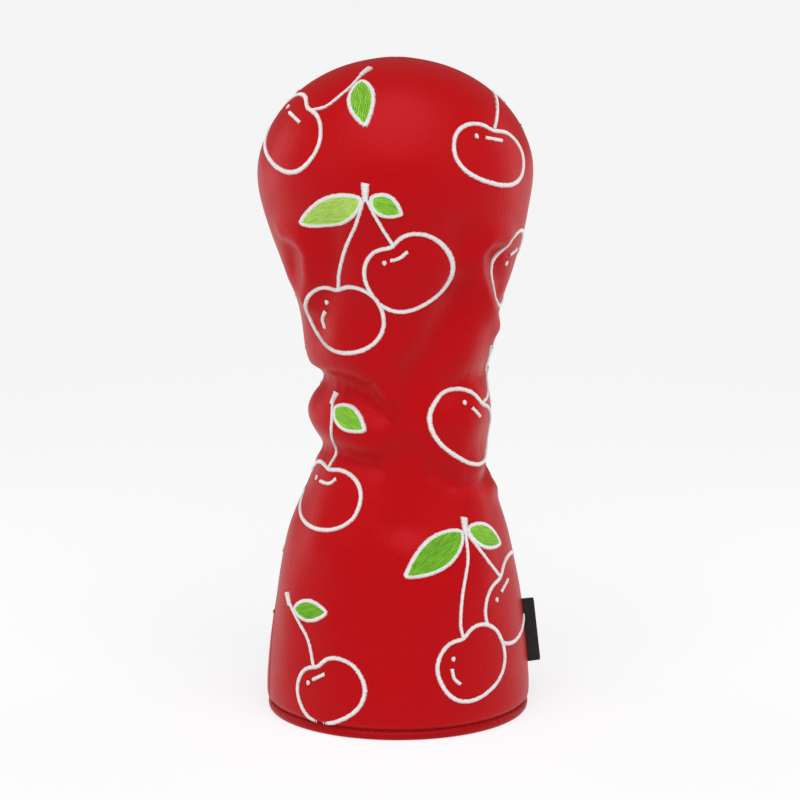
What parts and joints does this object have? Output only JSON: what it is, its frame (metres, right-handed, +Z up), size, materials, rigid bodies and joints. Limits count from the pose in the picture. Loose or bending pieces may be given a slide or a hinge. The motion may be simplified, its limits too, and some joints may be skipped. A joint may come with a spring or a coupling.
{
  "type": "golf driver head cover",
  "caption": "Padded leather driver head cover: bulbous head, elastic-gathered neck, flared skirt, embroidered cherries, folded side label.",
  "frame": {"origin": "middle of the mouth, on the floor that the cover stands on", "axes": "+Z up from the mouth to the crown; the front faces -Y; +X is the right-hand side seam, which holds the label"},
  "size_m": [0.1414, 0.1196, 0.33],
  "materials": {
    "red_leather": "smooth coated leather with a fine grain, satin",
    "red_leather_binding": "folded strip of the same coated leather, satin",
    "white_thread": "satin-stitch embroidery thread, slight sheen",
    "green_thread": "tatami-stitch embroidery thread, slight sheen",
    "red_thread": "sewing thread",
    "backing_felt": "thin non-woven, matt",
    "foam": "open-cell foam, matt",
    "black_fleece": "short-pile fleece",
    "elastic": "braided elastic",
    "cotton_tape": "twill tape, matt",
    "black_label": "damask-woven label, plain"
  },
  "bodies": {
    "cover": {"back_crown_left_leaves": "green_thread", "back_crown_left_lines": "white_thread", "back_crown_right_lines": "white_thread", "back_embroidery_backing": "backing_felt", "back_fleece_lining": "black_fleece", "back_foam_padding": "foam", "back_head_pair_leaves": "green_thread", "back_head_pair_lines": "white_thread", "back_head_right_lines": "white_thread", "back_leather_panel": "red_leather", "back_neck_left_leaves": "green_thread", "back_neck_left_lines": "white_thread", "back_neck_right_leaves": "green_thread", "back_neck_right_lines": "white_thread", "back_skirt_left_leaves": "green_thread", "back_skirt_left_lines": "white_thread", "back_skirt_pair_leaves": "green_thread", "back_skirt_pair_lines": "white_thread", "elastic_zigzag_stitching": "red_thread", "front_crown_left_leaves": "green_thread", "front_crown_left_lines": "white_thread", "front_crown_right_lines": "white_thread", "front_embroidery_backing": "backing_felt", "front_fleece_lining": "black_fleece", "front_foam_padding": "foam", "front_head_pair_leaves": "green_thread", "front_head_pair_lines": "white_thread", "front_head_right_lines": "white_thread", "front_leather_panel": "red_leather", "front_neck_left_leaves": "green_thread", "front_neck_left_lines": "white_thread", "front_neck_right_leaves": "green_thread", "front_neck_right_lines": "white_thread", "front_skirt_left_leaves": "green_thread", "front_skirt_left_lines": "white_thread", "front_skirt_pair_leaves": "green_thread", "front_skirt_pair_lines": "white_thread", "mouth_binding": "red_leather_binding", "mouth_topstitching": "red_thread", "neck_elastic_band": "elastic", "side_seam_stitching": "red_thread", "side_seam_tape": "cotton_tape", "woven_label_root": "black_label"},
    "label_flap": {"woven_label_flap": "black_label"}
  },
  "joints": [
    {"name": "label_bend", "type": "hinge", "parent": "cover", "child": "label_flap", "pos_m": [0.06652, 0, 0.0391], "axis": [-0.1163, 0, 0.9932], "range_deg": [-75, 75], "stiffness_Nm_per_rad": 0.0002}
  ]
}
